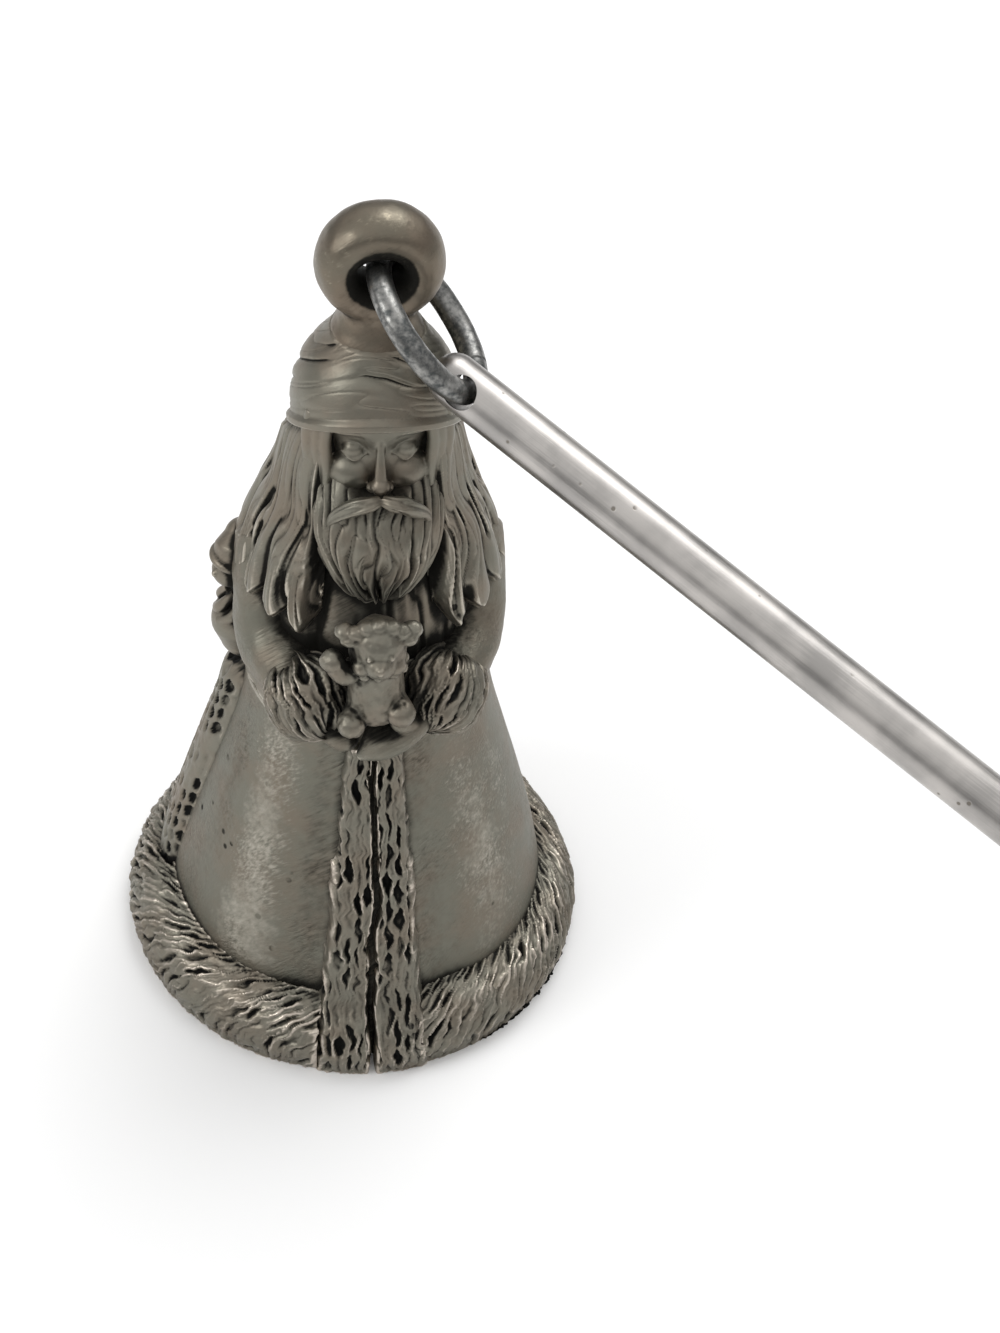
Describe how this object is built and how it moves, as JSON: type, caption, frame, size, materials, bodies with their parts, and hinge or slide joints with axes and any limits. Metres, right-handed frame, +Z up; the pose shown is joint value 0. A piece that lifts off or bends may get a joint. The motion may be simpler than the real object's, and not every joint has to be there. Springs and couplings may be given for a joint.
{
  "type": "candle snuffer",
  "caption": "Candle snuffer: a cast bell shaped as a robed, bearded winter figure, hung by a wire ring from a solid rod handle.",
  "frame": {"origin": "the middle of the bell's open mouth, level with its rim, where the figure stands on a table", "axes": "+Z up the bell's axis to the hanging eye, -Y the way the figure faces, +X to the side where the handle lies"},
  "size_m": [0.1742, 0.1461, 0.0761],
  "materials": {
    "pewter": "antiqued cast pewter, dark in the recesses and rubbed bright on the ridges",
    "ring_wire": "dark tumbled wire",
    "handle_steel": "satin drawn rod with fine specks"
  },
  "bodies": {
    "snuffer": {"robe_bell": "pewter", "fur_hem": "pewter", "front_fur_left": "pewter", "front_fur_right": "pewter", "side_fur": "pewter", "torso": "pewter", "sleeve_left": "pewter", "sleeve_right": "pewter", "cuff_left": "pewter", "cuff_right": "pewter", "mitten_left": "pewter", "mitten_right": "pewter", "head": "pewter", "cap": "pewter", "hair_left": "pewter", "hair_right": "pewter", "hair_back": "pewter", "beard": "pewter", "moustache": "pewter", "hanging_eye": "pewter", "toy_bear": "pewter", "toy_sack": "pewter", "toy_doll": "pewter"},
    "ring": {"split_ring": "ring_wire"},
    "handle": {"handle_rod": "handle_steel"}
  },
  "joints": [
    {"name": "ring_swing", "type": "hinge", "parent": "snuffer", "child": "ring", "pos_m": [0, 0, 0.0713], "axis": [0, -1, 0], "range_deg": [0, 200]},
    {"name": "handle_pivot", "type": "hinge", "parent": "ring", "child": "handle", "pos_m": [0.0061, -0.00572, 0.06392], "axis": [0.4078, 0.7632, -0.5011], "range_deg": [-90, 45]}
  ]
}
